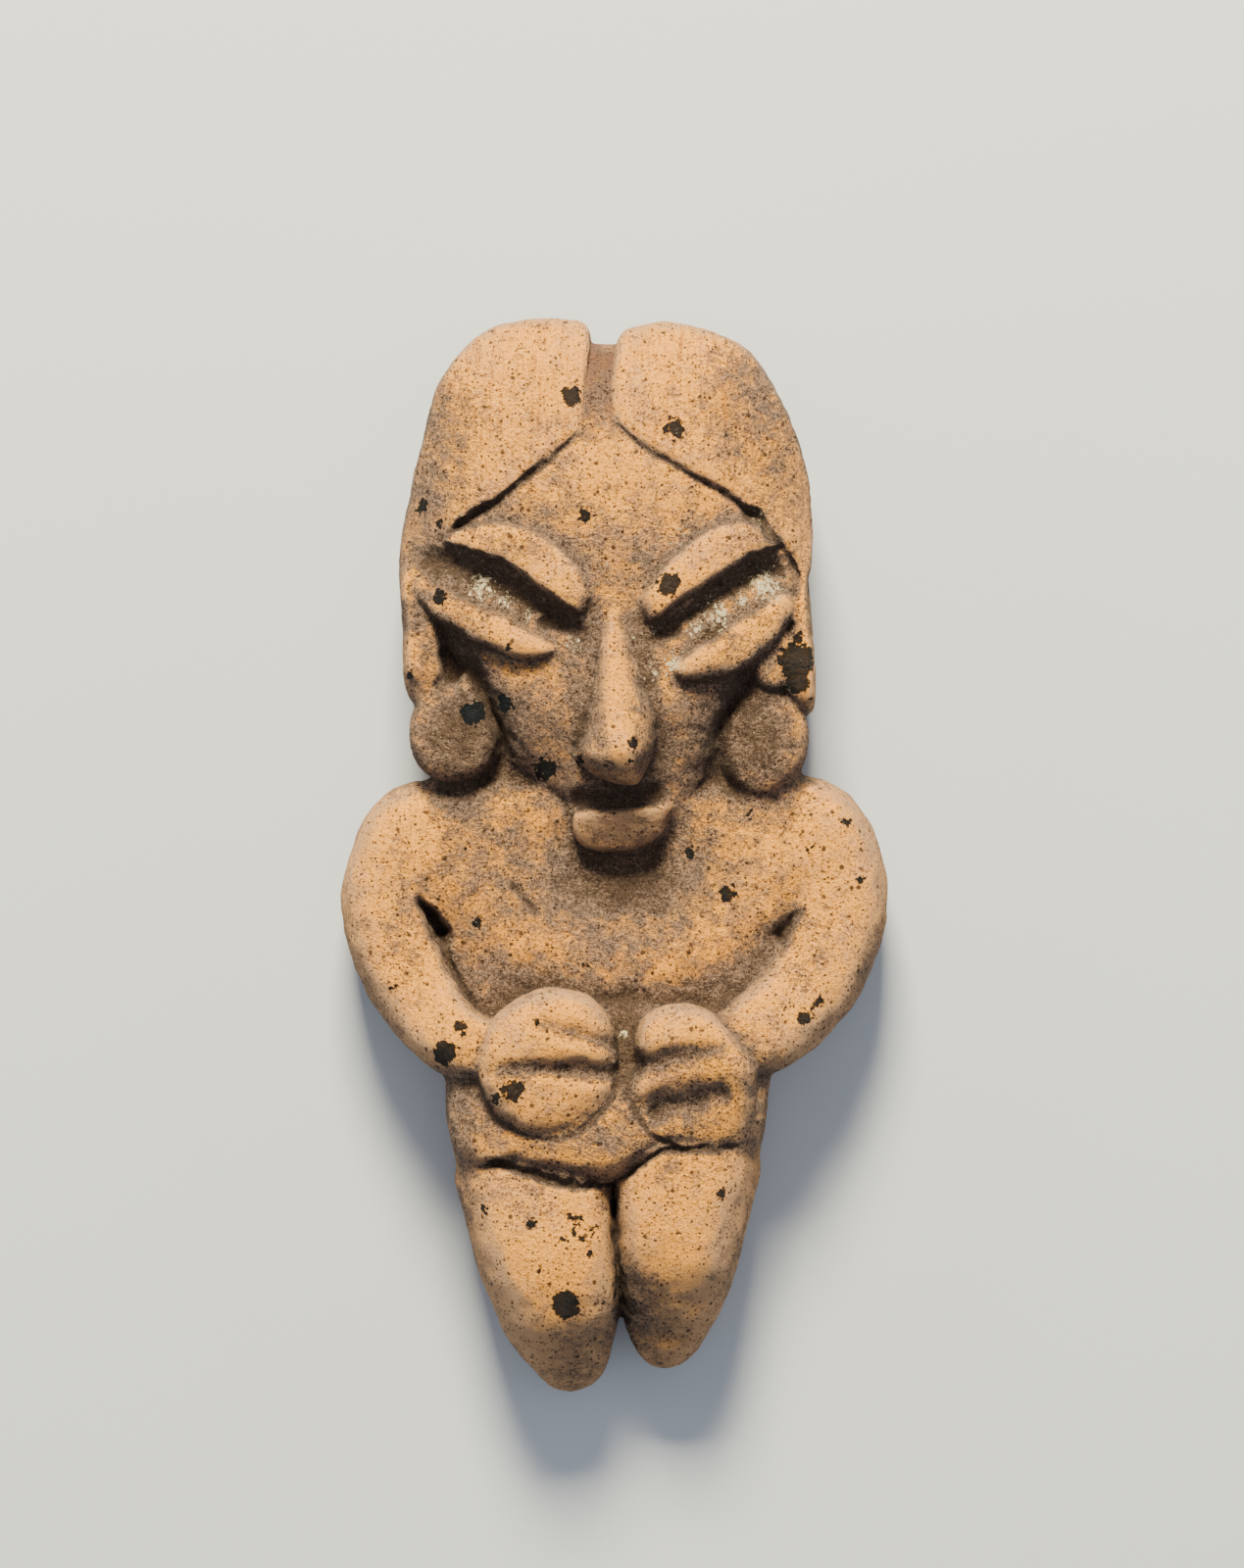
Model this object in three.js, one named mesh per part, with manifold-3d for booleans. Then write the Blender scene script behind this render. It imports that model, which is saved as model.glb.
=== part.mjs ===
// Small hand-modelled clay figure with slanting eyes, fired in one piece, lying on its back.
// Lengths are millimetres. +X is to the right of a person who looks at its front, +Y runs
// towards the crown and +Z out of the front. The origin is under the middle of the figure,
// on the surface that it lies on.

import * as THREE from 'three';
import { mergeVertices } from 'three/addons/utils/BufferGeometryUtils.js';
import { ParametricGeometry } from 'three/addons/geometries/ParametricGeometry.js';
import Module from 'manifold-3d';

const wasm = await Module();
wasm.setup();

const { smoothstep } = THREE.MathUtils;

// Clay, as fired: a warm buff with no gloss
const clay = { color: 0xb88e62, roughness: 0.86, metalness: 0 };

// Every pad has an outline of [x, y] points that run counterclockwise, a rim (the height of its
// widest line), a top, a bottom and an edge: 1 is a full round side, and less is a squarer one.
const skull = {
  outline: [
    [17, 26], [16.6, 33], [14.4, 40.5], [10, 45], [4.7, 46], [-0.8, 45.6], [-6.2, 46.1],
    [-12, 44.8], [-16, 39.5], [-18, 32], [-18.1, 25], [-17.4, 18], [-14.8, 11], [-10.5, 5.5],
    [0.4, 2], [11, 5.5], [14.6, 11], [16.8, 18],
  ],
  rim: 6.5,
  top: 13,
  bottom: -0.8,
  edge: 0.6,
  around: 32,
};

// The face is a thinner pad on the front of the skull that narrows to the chin
const face = {
  outline: [
    [16.8, 26], [16, 33], [13.8, 40.5], [9.6, 44.6], [4.7, 45.6], [-0.8, 45.4], [-6.2, 45.7],
    [-11.6, 44.4], [-15.4, 39.5], [-17.4, 32], [-17.8, 25], [-16.2, 19], [-12.4, 14], [-9.2, 8.5],
    [-5.4, 2.8], [0.4, 0.2], [5.4, 2.4], [9, 8.6], [12.4, 14.6], [15.6, 21],
  ],
  rim: 8,
  top: faceTop,
  bottom: 4,
  edge: 0.56,
  around: 40,
};

// It is nearly level from the hair to the brow, and falls away to the jaw
function faceTop(x, y) {
  const brow = 17.1 - 1.8 * (x / 17) ** 2 - 2.4 * smoothstep(y, 34, 50);
  return brow - 0.5 * smoothstep(-y, -30, -19) - 3.4 * smoothstep(-y, -15.5, -1);
}

// Two flat lobes of hair lie on the forehead, and the part runs up between them
const hairLobes = [
  [
    [-2.5, 46.4], [-7, 47.7], [-12, 46.2], [-15.9, 40.7], [-17.5, 35], [-18.7, 28], [-18.7, 24],
    [-16.6, 25.7], [-12, 30.6], [-6.5, 35], [-3, 38.2], [-2.3, 42],
  ],
  [
    [5.5, 47.5], [0.8, 46], [0.1, 41], [1.6, 37.6], [7.6, 33.6], [13.6, 29.4], [16.6, 23.6], [17.6, 25],
    [17.4, 32], [15.8, 39], [12.2, 45],
  ],
].map((outline) => ({ outline, rim: 8.5, top: hairTop, bottom: 1.6, edge: 0.4, around: 28 }));

// The lobes are nearly flat and round off towards the crown and the temples
function hairTop(x, y) {
  return 17.4 - 5.4 * (x / 18.5) ** 4 - 4.4 * ((y - 29) / 18.5) ** 4;
}

// Ear flaps hang behind the round ear ornaments
const earFlaps = [
  [[-17, 26.5], [-18.9, 26], [-18.6, 20], [-18, 14.6], [-15.6, 14.2], [-14.2, 16.5], [-14.6, 21]],
  [[15.4, 22.5], [14, 18], [14.2, 14.6], [16.6, 12.8], [17.9, 14.6], [17.8, 19], [17.7, 25.5]],
].map((outline) => ({ outline, rim: 6.5, top: 13.8, bottom: 2.6, edge: 0.5, around: 18, down: 8 }));

const earOrnaments = [
  oval([-14.1, 11.1], [4, 4.6]),
  oval([13.3, 10.4], [4, 5.1]),
].map((outline) => ({ outline, rim: 9.6, top: 13.9, bottom: 3, edge: 0.55, around: 20, down: 8 }));

// A roll has stations of [x, y, z, half width, half height] along its middle
const eyelids = [
  [
    [-16, 27.7, 14.4, 0.9, 1.6], [-11.4, 28.1, 15.4, 2.1, 2.4], [-6.4, 26, 16, 2.5, 2.5],
    [-2.3, 21.9, 16.4, 1.3, 2.2],
  ],
  [
    [-17.4, 24.8, 13.4, 0.9, 1.7], [-14.6, 22.3, 14.1, 2.3, 2.4], [-9.6, 19.8, 15, 2.3, 2.5],
    [-4.1, 18.4, 15.6, 1.2, 2],
  ],
  [
    [3.4, 20.4, 16.2, 1.5, 2.2], [6.4, 24.5, 16, 2.5, 2.5], [10.6, 27.4, 15.5, 2.2, 2.4],
    [15.2, 26.8, 14.4, 0.9, 1.6],
  ],
  [
    [5.2, 16.4, 15.4, 1.2, 2], [9, 17.6, 15.2, 2.4, 2.5], [13.2, 20.2, 14.4, 2.2, 2.4],
    [15.9, 23.4, 13.6, 0.9, 1.6],
  ],
].map((stations) => ({ stations, blunt: 4, along: 12, around: 10 }));

const nose = {
  stations: [
    [-0.1, 23.4, 15, 1.3, 1.7], [0, 19.4, 14.6, 2.3, 3.5], [0.5, 14.4, 13.8, 3.2, 5.5],
    [0.6, 9.8, 13.2, 3.6, 7.3], [0.9, 6.7, 12.6, 2.6, 5.8],
  ],
  blunt: 8,
  along: 14,
  around: 14,
};

// The open mouth is a hollow under the nose, and the chin is a strip of clay below it
const mouth = {
  stations: [[-5, 5.2, 14, 1.1, 1.4], [0.2, 5.4, 14.4, 1.5, 2.4], [5.4, 5.6, 14, 1.2, 1.4]],
  blunt: 5,
};
const chin = {
  outline: [
    [4.9, 4.8], [2.2, 4.3], [-0.6, 4], [-3.2, 3.7], [-3.4, 2.2], [-1.9, 0.6], [0.8, 0.4], [3.3, 1.2],
    [4.8, 3.1],
  ],
  rim: 11,
  top: chinTop,
  bottom: 6,
  edge: 0.5,
  around: 20,
  down: 8,
};

// The strip leans forward, so that its front faces a little downwards
function chinTop(x, y) {
  return 15.2 - 0.5 * (4.6 - y);
}

const chest = {
  outline: [
    [8, 11.5], [0, 12.5], [-8.4, 11.5], [-15, 7.2], [-19.6, 2.6], [-19, -3.5], [-15.8, -8.6],
    [-14.7, -15], [-14.9, -21], [-13, -27.5], [-6, -29], [0, -29.4], [6, -28], [12.4, -27], [14, -20],
    [14.6, -12], [16.2, -7.4], [19, -3], [19.6, 3], [15, 7.4],
  ],
  rim: 6.2,
  top: chestTop,
  bottom: -0.5,
  edge: 0.36,
  around: 36,
};

// It is highest across the shoulders, and falls away to the head, the neck and the waist
function chestTop(x, y) {
  const neck = 1.8 * Math.exp(-(((x - 0.7) / 8) ** 2) - (y / 5.5) ** 2);
  const waist = 1.3 * smoothstep(-y, 3, 11);
  return 12.9 - 0.6 * (x / 18) ** 2 - 3.4 * smoothstep(y, 4, 11) - neck - waist;
}

// The belly stands out above the legs and ends in a lip over them
const belly = {
  outline: [
    [9.5, -13.5], [0, -12.5], [-9.5, -13.5], [-14, -17], [-14.8, -22], [-13.4, -26.8],
    [-9, -28.2], [-4.4, -28.5], [0, -28.6], [3, -27], [6.6, -25.8], [12.4, -26], [13.8, -21], [13.5, -17],
  ],
  rim: 7,
  top: bellyTop,
  bottom: 0.5,
  edge: 0.42,
  around: 30,
};

function bellyTop(x, y) {
  return 16.5 - 1.4 * (x / 13) ** 2 - 3.8 * smoothstep(y, -22.5, -12) - 1.5 * smoothstep(-y, 26.4, 29.4);
}

const legs = [
  [
    [-6.9, -24.5, 7, 6.8, 7.2], [-7, -28, 7.2, 6.9, 7.9], [-6.5, -31.8, 7.6, 6.5, 8],
    [-5.8, -35.6, 7.7, 6.1, 8], [-5.2, -38.4, 7.3, 5.7, 7.4], [-4.6, -41, 6.4, 5.1, 5.9],
    [-3.8, -44.2, 5.4, 3.8, 4.2], [-3.1, -47.5, 4.6, 2.4, 2.4],
  ],
  [
    [6.3, -23, 7, 6.3, 8.2], [6.5, -26.6, 7.2, 6.5, 8.5], [6.1, -31, 7.6, 6, 8.1],
    [5.8, -34.4, 7.5, 5.5, 7.7], [5.5, -37.2, 6.9, 5, 6.2], [5, -40.4, 5.8, 4.3, 4.8],
    [4.7, -43, 5.1, 3.3, 3.6], [4.5, -45.6, 4.4, 1.9, 2.2],
  ],
].map((stations) => ({ stations, blunt: 14, along: 17, around: 16 }));

const arms = [
  [
    [-11, 2.4, 5.4, 3.6, 4.6], [-17.1, 2.5, 6.9, 4.3, 5.7], [-19.9, -1.6, 6.8, 4, 5.9],
    [-20.1, -5.6, 6.9, 3.9, 6], [-18.4, -10.6, 7.6, 3.9, 5.7], [-15.9, -14.2, 9, 3.5, 5.2],
    [-13.2, -16.7, 11.2, 3.2, 4.8], [-8, -18.4, 12, 3, 4.3],
  ],
  [
    [11, 2.4, 5.4, 3.6, 4.6], [17.2, 2.9, 6.9, 4.4, 5.7], [19.8, -1.2, 6.8, 4.2, 5.9],
    [19.9, -5.2, 6.9, 4.2, 6], [18.5, -9.6, 7.6, 4.1, 5.7], [16.1, -12.7, 9, 4.1, 5.2],
    [13.1, -15.6, 11.2, 3.8, 4.8], [8.4, -18.2, 12, 3.3, 4.3],
  ],
].map((stations) => ({ stations, blunt: 10, along: 15, around: 13 }));

const hands = [
  [
    [-0.2, -14.6], [-2.6, -12.2], [-6.7, -11.7], [-10.8, -14.2], [-12, -19], [-10.4, -22.8],
    [-5.8, -24.7], [-1.4, -22.8], [0.4, -19],
  ],
  [
    [9.7, -14.6], [6, -13], [2.6, -14], [1.6, -18], [1.4, -21.8], [5, -25], [9.6, -25.7],
    [12.2, -23.6], [12.4, -19],
  ],
].map((outline) => ({ outline, rim: 12.5, top: handTop, bottom: 8, edge: 0.58, around: 24, down: 8 }));

// The hands sink into the belly at their lower edge, and the right one sinks further
function handTop(x, y) {
  return 18.4 - (1.5 + 0.09 * x) * smoothstep(-y, 16, 25);
}

// Two cuts across each hand part the fingers
const fingerCuts = [
  [[-8.4, -15, 19, 0.4, 1], [-4, -15.3, 18.8, 0.7, 1.4], [1.4, -16.2, 18.2, 0.9, 1.9]],
  [[-11.8, -19.1, 18.2, 0.4, 1], [-5.8, -18.5, 18.6, 0.7, 1.5], [1.2, -18.9, 18, 0.8, 1.9]],
  [[0.8, -18, 18, 0.9, 1.9], [5.5, -17.3, 18.6, 0.8, 1.5], [10, -16.3, 19, 0.4, 0.9]],
  [[1.4, -21.7, 16.8, 1, 1.8], [5.5, -22, 17, 1.2, 1.8], [10.6, -20.3, 17.8, 0.5, 1]],
].map((stations) => ({ stations, blunt: 6, along: 8, around: 6 }));

const shelf = { size: 120, thickness: 6 }; // the space below the surface that the back is flattened on
const backEdge = 0.7; // how round a pad is below its rim
const seamGap = 1e-4; // points of one pad or roll this close together are one point

// An oval outline of eight points
function oval([x, y], [halfX, halfY]) {
  return [0, 1, 2, 3, 4, 5, 6, 7].map((step) => {
    const turn = (step * Math.PI) / 4;
    return [x + halfX * Math.cos(turn), y + halfY * Math.sin(turn)];
  });
}

// A mesh becomes a solid once the points of its seam and of its two poles are joined and the
// triangles that this closes up are dropped
function solidOf(geometry) {
  geometry.deleteAttribute('normal');
  geometry.deleteAttribute('uv');
  const joined = mergeVertices(geometry, seamGap);
  const corners = joined.index.array;
  const triangles = [];
  for (let i = 0; i < corners.length; i += 3) {
    const [a, b, c] = corners.slice(i, i + 3);
    if (a !== b && b !== c && c !== a) triangles.push(a, b, c);
  }
  return new wasm.Manifold(new wasm.Mesh({
    numProp: 3,
    vertProperties: joined.getAttribute('position').array,
    triVerts: new Uint32Array(triangles),
  }));
}

// A pad of clay inside a smooth outline. A point goes round the outline with u and from the
// bottom over the rim to the top with v: with a turn from -90 to 90 degrees, it stands
// cos(turn)^edge of the way out from the middle and sin(turn)^edge of the way up or down.
// Below the rim the side is rounder, with backEdge in place of edge.
function pad({ outline, rim, top, bottom, edge, around = 32, down = 10 }) {
  const line = new THREE.CatmullRomCurve3(outline.map(([x, y]) => new THREE.Vector3(x, y, 0)), true);
  const middle = line.getSpacedPoints(around).slice(1)
    .reduce((sum, point) => sum.add(point), new THREE.Vector3())
    .divideScalar(around);
  const highest = typeof top === 'function' ? top : () => top;
  return solidOf(new ParametricGeometry((u, v, target) => {
    const turn = (v - 0.5) * Math.PI;
    const round = turn > 0 ? edge : Math.max(edge, backEdge);
    const out = v === 0 || v === 1 ? 0 : Math.cos(turn) ** round;
    const up = Math.abs(Math.sin(turn)) ** round;
    target.lerpVectors(middle, line.getPointAt(u), out);
    target.z = turn > 0 ? rim + (highest(target.x, target.y) - rim) * up : rim + (bottom - rim) * up;
  }, around, down));
}

// A roll of clay along a smooth path through its stations, with an oval section that lies
// level from side to side and closes at both ends as (1 - |2t - 1|^blunt)^0.5.
function roll({ stations, blunt, along = 12, around = 12 }) {
  const path = new THREE.CatmullRomCurve3(stations.map(([x, y, z]) => new THREE.Vector3(x, y, z)));
  const halves = new THREE.CatmullRomCurve3(
    stations.map(([, , , across, high]) => new THREE.Vector3(across, high, 0)), false, 'catmullrom',
  );
  const upright = new THREE.Vector3(0, 0, 1);
  return solidOf(new ParametricGeometry((u, v, target) => {
    const t = (1 - Math.cos(v * Math.PI)) / 2;
    const closing = Math.sqrt(1 - Math.abs(2 * t - 1) ** blunt);
    const forward = path.getTangent(t);
    const side = new THREE.Vector3().crossVectors(upright, forward).normalize();
    const up = new THREE.Vector3().crossVectors(forward, side);
    const half = halves.getPoint(t);
    const turn = u * 2 * Math.PI;
    path.getPoint(t, target);
    target.addScaledVector(side, half.x * closing * Math.cos(turn));
    target.addScaledVector(up, half.y * closing * Math.sin(turn));
  }, around, along));
}

// The body is built up as the maker did it: slab, applied pads and rolls, then the cuts
function figurine() {
  const headPads = [skull, face, ...hairLobes, ...earFlaps, ...earOrnaments, chin];
  const pads = [...headPads, chest, belly, ...hands].map(pad);
  const rolls = [...eyelids, nose, ...legs, ...arms].map(roll);
  const cuts = [mouth, ...fingerCuts].map(roll);
  const below = new THREE.BoxGeometry(shelf.size, shelf.size, shelf.thickness);
  below.translate(0, 0, -shelf.thickness / 2);
  const built = [...pads, ...rolls].reduce((sum, piece) => sum.add(piece));
  const carved = [...cuts, solidOf(below)].reduce((sum, piece) => sum.subtract(piece), built);
  return carved.getMesh();
}

// The mesh is set over its origin: the middle of its length and width is at x = 0 and y = 0
function centred({ vertProperties, triVerts }) {
  const geometry = new THREE.BufferGeometry();
  geometry.setAttribute('position', new THREE.BufferAttribute(vertProperties, 3));
  geometry.setIndex(new THREE.BufferAttribute(triVerts, 1));
  geometry.computeBoundingBox();
  const { min, max } = geometry.boundingBox;
  geometry.translate(-(min.x + max.x) / 2, -(min.y + max.y) / 2, -min.z);
  geometry.computeVertexNormals();
  return geometry;
}

const body = new THREE.Mesh(centred(figurine()), new THREE.MeshStandardMaterial(clay));
body.name = 'clay_figurine';

const figure = new THREE.Group();
figure.add(body);

export default figure;
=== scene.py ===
# Slant-eyed figurine of fired clay, lying on its back. Shapes are worked out in millimetres in the
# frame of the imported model: +X to the right of its front, +Y to the crown, +Z out of the front.
import math
import bpy
import numpy as np
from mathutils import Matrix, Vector


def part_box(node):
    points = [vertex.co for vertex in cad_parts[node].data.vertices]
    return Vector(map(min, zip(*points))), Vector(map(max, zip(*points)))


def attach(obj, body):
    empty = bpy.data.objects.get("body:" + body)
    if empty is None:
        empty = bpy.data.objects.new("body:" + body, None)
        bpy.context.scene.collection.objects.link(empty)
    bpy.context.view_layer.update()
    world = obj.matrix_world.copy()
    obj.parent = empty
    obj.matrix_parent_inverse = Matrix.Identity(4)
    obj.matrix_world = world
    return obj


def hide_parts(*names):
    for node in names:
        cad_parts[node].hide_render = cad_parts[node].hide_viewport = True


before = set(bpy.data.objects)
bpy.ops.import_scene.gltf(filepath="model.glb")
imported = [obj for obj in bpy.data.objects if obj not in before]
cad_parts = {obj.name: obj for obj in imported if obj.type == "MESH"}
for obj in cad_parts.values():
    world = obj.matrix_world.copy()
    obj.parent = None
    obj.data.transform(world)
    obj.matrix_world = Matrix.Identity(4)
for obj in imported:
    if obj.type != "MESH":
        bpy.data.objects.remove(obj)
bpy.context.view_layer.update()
cadNode = "clay_figurine"
cadLow, cadHigh = (np.array(corner) * 1000 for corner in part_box(cadNode))
mm = 0.001
print("frame loaded, box in mm", cadLow.round(2), cadHigh.round(2))


# Numbers and curves

def ease(low, high, value):
    # 0 below low, 1 above high, and 3t^2 - 2t^3 between them
    t = np.clip((value - low) / (high - low), 0, 1)
    return t * t * (3 - 2 * t)


def evenly(curve, count):
    # The same line with this many points at even steps along it, measured in plan
    steps = np.linalg.norm(np.diff(curve[:, :2], axis=0), axis=1)
    length = np.concatenate([[0], np.cumsum(steps)])
    at = np.linspace(0, length[-1], count)
    return np.stack([np.interp(at, length, column) for column in curve.T], axis=1)


def throughPoints(before, start, end, after, steps=24):
    # Cubic from each start to each end, whose slope at a point is half the line between its neighbours
    t = np.linspace(0, 1, steps, endpoint=False)[None, :, None]
    a, b, c, d = (p[:, None, :] for p in (before, start, end, after))
    curve = b + 0.5 * t * (c - a + t * (2 * a - 5 * b + 4 * c - d + t * (3 * (b - c) + d - a)))
    return curve.reshape(-1, start.shape[1])


def smoothLoop(points, count):
    p = np.array(points, float)
    curve = throughPoints(np.roll(p, 1, 0), p, np.roll(p, -1, 0), np.roll(p, -2, 0))
    return evenly(np.vstack([curve, curve[:1]]), count + 1)[:-1]


def smoothPath(points, count):
    p = np.array(points, float)
    p = np.vstack([2 * p[0] - p[1], p, 2 * p[-1] - p[-2]])
    curve = throughPoints(p[:-3], p[1:-2], p[2:-1], p[3:])
    return evenly(np.vstack([curve, p[-2:-1]]), count)


def nearPath(points, path):
    # Distance in plan from each point to a line of points, and how far along it that is, from 0 to 1
    best = np.full(len(points), 1e9)
    along = np.zeros(len(points))
    steps = len(path) - 1
    for k in range(steps):
        a, b = path[k, :2], path[k + 1, :2]
        t = np.clip(((points[:, :2] - a) @ (b - a)) / ((b - a) @ (b - a)), 0, 1)
        gap = np.linalg.norm(points[:, :2] - (a + t[:, None] * (b - a)), axis=1)
        closer = gap < best
        best[closer] = gap[closer]
        along[closer] = (k + t[closer]) / steps
    return best, along


def clayNoise(points, size, seed):
    # Smooth noise from -1 to 1: random values on a cubic lattice of this spacing, blended by ease
    lattice = np.random.RandomState(seed).uniform(-1, 1, (32, 32, 32))
    cell = points / size
    low = np.floor(cell).astype(int)
    t = ease(0, 1, cell - low)
    value = np.zeros(len(points))
    for corner in np.ndindex(2, 2, 2):
        weight = np.prod(np.where(np.array(corner) > 0, t, 1 - t), axis=1)
        i, j, k = ((low + corner) % 32).T
        value += weight * lattice[i, j, k]
    return value


# Two ways of shaping clay: a pad pressed flat, and a roll

backEdge = 0.7  # how round a pad is below its rim


def level(height, plan):
    # A height may be a number or a function of the place in plan
    x, y = plan[..., 0], plan[..., 1]
    return height(x, y) if callable(height) else np.full(x.shape, float(height))


def closedGrid(rings):
    # Triangles over a stack of rings, with a middle point that closes each end
    rows, around = rings.shape[:2]
    points = np.vstack([rings.reshape(-1, 3), rings[0].mean(0), rings[-1].mean(0)])
    i, j = (grid.ravel() for grid in np.meshgrid(np.arange(rows - 1), np.arange(around), indexing="ij"))
    a, b = i * around + j, i * around + (j + 1) % around
    k = np.arange(around)
    after = (k + 1) % around
    low, high = np.full(around, rows * around), np.full(around, rows * around + 1)
    last = (rows - 1) * around
    faces = np.vstack([
        np.stack([a, b, b + around], 1), np.stack([a, b + around, a + around], 1),
        np.stack([low, after, k], 1), np.stack([high, last + k, last + after], 1),
    ])
    return points, faces


def pad(shape):
    # A pad inside a smooth outline. With a turn from -90 degrees at the bottom to 90 at the top, the
    # surface stands cos(turn)^edge of the way out from the middle and sin(turn)^edge of the way up
    # from the rim to the top, or down to the bottom. Extra turns keep the steps even near the middle.
    ring = smoothLoop(shape["outline"], shape.get("around", 180))
    middle = np.array(shape.get("middle", ring.mean(0)))
    upper, lower = shape["edge"], max(shape["edge"], backEdge)
    even = np.linspace(0.02, 0.96, 24)
    turns = np.concatenate([
        np.linspace(0, math.pi / 2, 26)[:-1], np.arccos(even ** (1 / upper)),
        -np.linspace(0, math.pi / 2, 20)[1:-1], -np.arccos(even ** (1 / lower)),
    ])
    turns = np.unique(turns.round(4))
    edge = np.where(turns > 0, upper, lower)
    out = np.clip(np.cos(turns), 0, 1) ** edge
    up = (np.abs(np.sin(turns)) ** edge)[:, None]
    plan = middle + (ring - middle)[None] * out[:, None, None]
    rim = level(shape["rim"], plan)
    end = np.where(turns[:, None] > 0, level(shape["top"], plan), level(shape["bottom"], plan))
    return closedGrid(np.dstack([plan, rim + (end - rim) * up]))


def power(value, exponent):
    return np.sign(value) * np.abs(value) ** exponent


def roll(shape):
    # A roll along a smooth path of [x, y, z, half width, half height]. Its section is level from side
    # to side, cos(turn)^edge wide and sin(turn)^edge high, with an edge for either side, and its size
    # closes at both ends as (1 - |2t - 1|^blunt)^0.5
    path = smoothPath(shape["stations"], 120)
    t = (1 - np.cos(np.linspace(0.01, 0.99, 90) * math.pi)) / 2
    at = t * (len(path) - 1)
    line = np.stack([np.interp(at, np.arange(len(path)), column) for column in path.T], axis=1)
    forward = np.gradient(line[:, :3], t, axis=0)
    forward /= np.linalg.norm(forward, axis=1)[:, None]
    side = np.cross([0, 0, 1], forward)
    side /= np.linalg.norm(side, axis=1)[:, None]
    up = np.cross(forward, side)
    closing = np.sqrt(1 - np.abs(2 * t - 1) ** shape["blunt"])
    turn = np.linspace(0, 2 * math.pi, 96, endpoint=False)[None, :, None]
    edge = np.where(np.cos(turn) > 0, *shape["edges"])
    wide = (line[:, 3] * closing)[:, None, None] * side[:, None] * power(np.cos(turn), edge)
    high = (line[:, 4] * closing)[:, None, None] * up[:, None] * power(np.sin(turn), edge)
    return closedGrid(line[:, None, :3] + wide + high)


def ridge(shape):
    # A ridge built of upright sections across it. Each station is [y, left foot, crest, right foot,
    # crest height, edge], and from the crest the section runs to each foot as cos(turn)^edge out and
    # sin(turn)^edge up from the foot's level.
    rows = smoothPath([(station[0], 0, *station[1:]) for station in shape["stations"]], 70)
    y, left, crest, right, top, sharp = (rows[:, k][:, None] for k in (0, 2, 3, 4, 5, 6))
    turn = np.linspace(0, 2 * math.pi, 96, endpoint=False)[None]
    edge = np.where(np.sin(turn) > 0, sharp, 0.6)
    out, up = power(np.cos(turn), edge), power(np.sin(turn), edge)
    x = crest + np.where(out > 0, right - crest, crest - left) * out
    z = shape["foot"] + np.where(up > 0, top - shape["foot"], 4) * up
    return closedGrid(np.dstack([x, y + 0 * x, z]))


def oval(x, y, halfX, halfY):
    turn = np.arange(8) * math.pi / 4
    return np.stack([x + halfX * np.cos(turn), y + halfY * np.sin(turn)], axis=1)


# The pieces of the figure, as the maker put them on. Outlines run counterclockwise, in mm

def faceTop(x, y):
    # Nearly level from the hair to the brow, then it falls away to the jaw
    return 17.1 - 1.8 * (x / 17) ** 2 - 2.4 * ease(34, 50, y) - 0.5 * ease(30, 19, y) - 3.4 * ease(15.5, 1, y)


def hairTop(x, y):
    return 17.4 - 5.4 * np.abs(x / 18.5) ** 4 - 4.4 * np.abs((y - 29) / 18.5) ** 4


def lidTop(x, y):
    return 18.9 - 2.7 * (x / 16) ** 2


def lowLidTop(x, y):
    # The lower lids lean into the eyes: they fall towards the slit, a straight line on each side
    left, right = (y - 18.2 + 0.556 * (x + 4.4)) / 1.144, (y - 17.1 - 0.67 * (x - 5.1)) / 1.204
    return 18.5 - 2.7 * (x / 16) ** 2 - 1.6 * ease(-1.1, 1.1, np.where(x < 0, left, right))


def chestLobe(x, y):
    # 1 at the edge of the raised breast, less inside it
    return ((x - 0.3) / 14.5) ** 2 + (y / 11.6) ** 2


def chestTop(x, y):
    # The shoulders stand highest and fall away to the head, and the neck and the waist lie lower
    shoulders = 12.9 - 0.6 * (x / 18) ** 2 - 3.4 * ease(4, 11, y)
    neck = 3 * np.exp(-((x - 0.7) / 8) ** 2 - (y / 5.5) ** 2)
    waist = 1.3 * ease(0.4, 1.5, chestLobe(x, y)) * ease(-1, -7, y) * ease(17.5, 14.5, np.abs(x))
    return shoulders - neck - waist


def bellyTop(x, y):
    return 16.6 - 1.4 * (x / 13) ** 2 - 3.8 * ease(-22.5, -12, y) - 1.5 * ease(-26.4, -29.4, y)


def handTop(x, y):
    # The hands sink into the belly at their lower edge, and the right one sinks further
    return 18.4 - (1.5 + 0.09 * x) * ease(-16, -25, y)


def chinTop(x, y):
    # The strip faces downwards, so its lower edge lies deeper
    return 15.2 - 0.57 * (4.6 - y) - 0.03 * (x - 0.7) ** 2


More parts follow.
